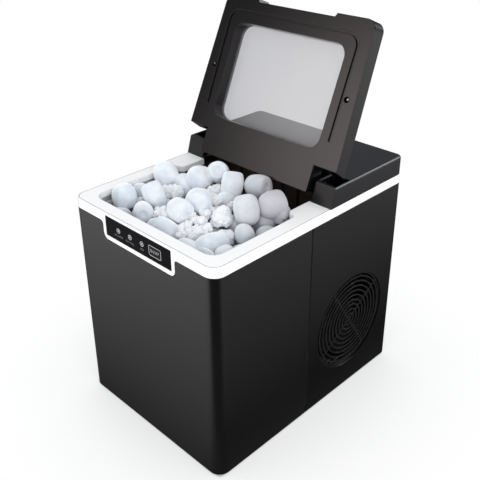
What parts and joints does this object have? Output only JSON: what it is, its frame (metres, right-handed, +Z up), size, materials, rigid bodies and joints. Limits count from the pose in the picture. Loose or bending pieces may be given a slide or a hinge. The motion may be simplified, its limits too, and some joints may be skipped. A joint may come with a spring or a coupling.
{
  "type": "countertop ice maker",
  "caption": "Free-standing bullet-ice maker: dark case, white top with an ice basket, window lid on a rear hinge, side fan grille and a front panel with a push button.",
  "frame": {"origin": "middle of the case on the ground under the feet", "axes": "+X to the right seen from the front, +Y to the back, +Z up"},
  "size_m": [0.226, 0.3, 0.4451],
  "materials": {
    "base_pan": "matt dark grey paint",
    "feet": "matt",
    "front_shell": "satin charcoal",
    "rear_shell": "satin near black",
    "fan_grille": "matt",
    "top_frame": "glossy white",
    "control_panel": "glossy overlay",
    "indicator_lenses": "clear, printed ring",
    "power_button": "dark, with a pale printed outline",
    "control_board": "solder resist",
    "power_board": "solder resist",
    "tank_liner": "pale grey",
    "insulation": "moulded foam",
    "ice_basket": "translucent grey",
    "ice_chamber": "brown black",
    "evaporator": "plated copper",
    "water_tray": "grey",
    "tray_motor": "matt",
    "ice_shovel": "brown black",
    "ice_sensors": "infrared window",
    "water_pump": "matt",
    "water_hose": "clear silicone",
    "compressor": "black enamel",
    "compressor_grommets": "matt",
    "condenser": "bare fins",
    "filter_dryer": "bare copper",
    "copper_tubes": "bare copper",
    "fan_motor": "cast",
    "fan_blades": "matt",
    "fan_shroud": "matt",
    "rear_cover": "satin near black",
    "lid_frame": "satin near black",
    "lid_liner": "satin near black",
    "lid_window": "grey tint, clear",
    "lid_screws": "blackened",
    "hinge_pins": "bright",
    "drain_plug": "white",
    "cord_gland": "matt",
    "case_screws": "blackened"
  },
  "bodies": {
    "case": {"base_pan": "base_pan", "feet": "feet", "front_shell": "front_shell", "rear_shell": "rear_shell", "fan_grille": "fan_grille", "top_frame": "top_frame", "control_panel": "control_panel", "indicator_lenses": "indicator_lenses", "control_board": "control_board", "power_board": "power_board", "tank_liner": "tank_liner", "insulation": "insulation", "ice_chamber": "ice_chamber", "evaporator": "evaporator", "tray_motor": "tray_motor", "ice_sensors": "ice_sensors", "water_pump": "water_pump", "water_hose": "water_hose", "compressor": "compressor", "compressor_grommets": "compressor_grommets", "condenser": "condenser", "filter_dryer": "filter_dryer", "copper_tubes": "copper_tubes", "fan_motor": "fan_motor", "fan_shroud": "fan_shroud", "rear_cover": "rear_cover", "cord_gland": "cord_gland", "case_screws": "case_screws"},
    "lid": {"lid_frame": "lid_frame", "lid_liner": "lid_liner", "lid_window": "lid_window", "lid_screws": "lid_screws", "hinge_pins": "hinge_pins"},
    "button": {"power_button": "power_button"},
    "basket": {"ice_basket": "ice_basket"},
    "tray": {"water_tray": "water_tray"},
    "shovel": {"ice_shovel": "ice_shovel"},
    "fan": {"fan_blades": "fan_blades"},
    "plug": {"drain_plug": "drain_plug"}
  },
  "joints": [
    {"name": "lid_hinge", "type": "hinge", "parent": "case", "child": "lid", "pos_m": [0, 0.0341, 0.2776], "axis": [-1, 0, 0], "range_deg": [-113, 0]},
    {"name": "basket_lift", "type": "slide", "parent": "case", "child": "basket", "axis": [0, 0, 1], "range_m": [0, 0.14]},
    {"name": "button_press", "type": "slide", "parent": "case", "child": "button", "axis": [0, 1, 0], "range_m": [0, 0.0008], "stiffness_N_per_m": 1500, "springref_m": -0.0005},
    {"name": "tray_tilt", "type": "hinge", "parent": "case", "child": "tray", "pos_m": [0, 0.036, 0.209], "axis": [-1, 0, 0], "range_deg": [0, 70]},
    {"name": "shovel_swing", "type": "hinge", "parent": "case", "child": "shovel", "pos_m": [0, -0.004, 0.243], "axis": [1, 0, 0], "range_deg": [0, 18]},
    {"name": "fan_spin", "type": "hinge", "parent": "case", "child": "fan", "pos_m": [0.09, 0.0678, 0.095], "axis": [1, 0, 0], "continuous": true},
    {"name": "drain_turn", "type": "hinge", "parent": "case", "child": "plug", "pos_m": [0.06, -0.09, 0.002], "axis": [0, 0, 1], "range_deg": [0, 90]}
  ],
  "couplings": [
    {"joint": "shovel_swing", "follows": "tray_tilt", "ratio": 0.25714}
  ]
}
